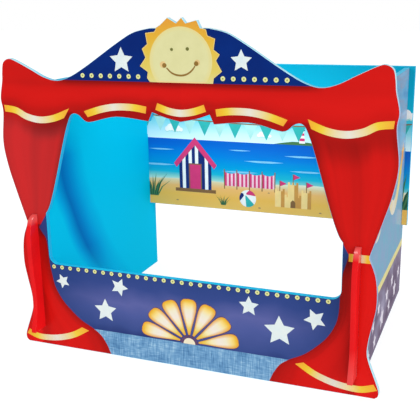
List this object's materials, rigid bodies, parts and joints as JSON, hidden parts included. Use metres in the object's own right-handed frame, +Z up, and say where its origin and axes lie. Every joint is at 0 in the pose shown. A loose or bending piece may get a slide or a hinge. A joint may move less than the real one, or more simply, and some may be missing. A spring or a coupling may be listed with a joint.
{
  "type": "puppet theatre stand",
  "caption": "Tabletop puppet theatre of slotted printed boards: a curtain-shaped front round a stage opening, side boards with noses through the front, and a lift-off backdrop.",
  "frame": {"origin": "centre of the theatre's plan, noses included, on the table that it stands on", "axes": "+X to the right as the audience sees the front, +Y from the audience to the puppeteer, +Z up"},
  "size_m": [0.6916, 0.522, 0.595],
  "materials": {
    "front_print": "MDF board, printed red, navy and gold on its face under gloss varnish, light blue paint on its back and cut edges",
    "side_print": "MDF board, printed sky blue inside and dusky blue and violet outside under gloss varnish, with red painted noses",
    "backdrop_print": "MDF board, printed with a plain seaside view on its face under gloss varnish, light blue paint on its back and cut edges"
  },
  "bodies": {
    "front": {"front_panel": "front_print"},
    "left_side": {"left_side_panel": "side_print"},
    "right_side": {"right_side_panel": "side_print"},
    "backdrop": {"backdrop_panel": "backdrop_print"}
  },
  "joints": [
    {"name": "left_slide", "type": "slide", "parent": "front", "child": "left_side", "axis": [0, 1, 0], "range_m": [0, 0.045]},
    {"name": "right_slide", "type": "slide", "parent": "front", "child": "right_side", "axis": [0, 1, 0], "range_m": [0, 0.045]},
    {"name": "backdrop_lift", "type": "slide", "parent": "left_side", "child": "backdrop", "axis": [0, 0, 1], "range_m": [0, 0.165]}
  ],
  "couplings": [
    {"joint": "right_slide", "follows": "left_slide", "ratio": 1}
  ]
}
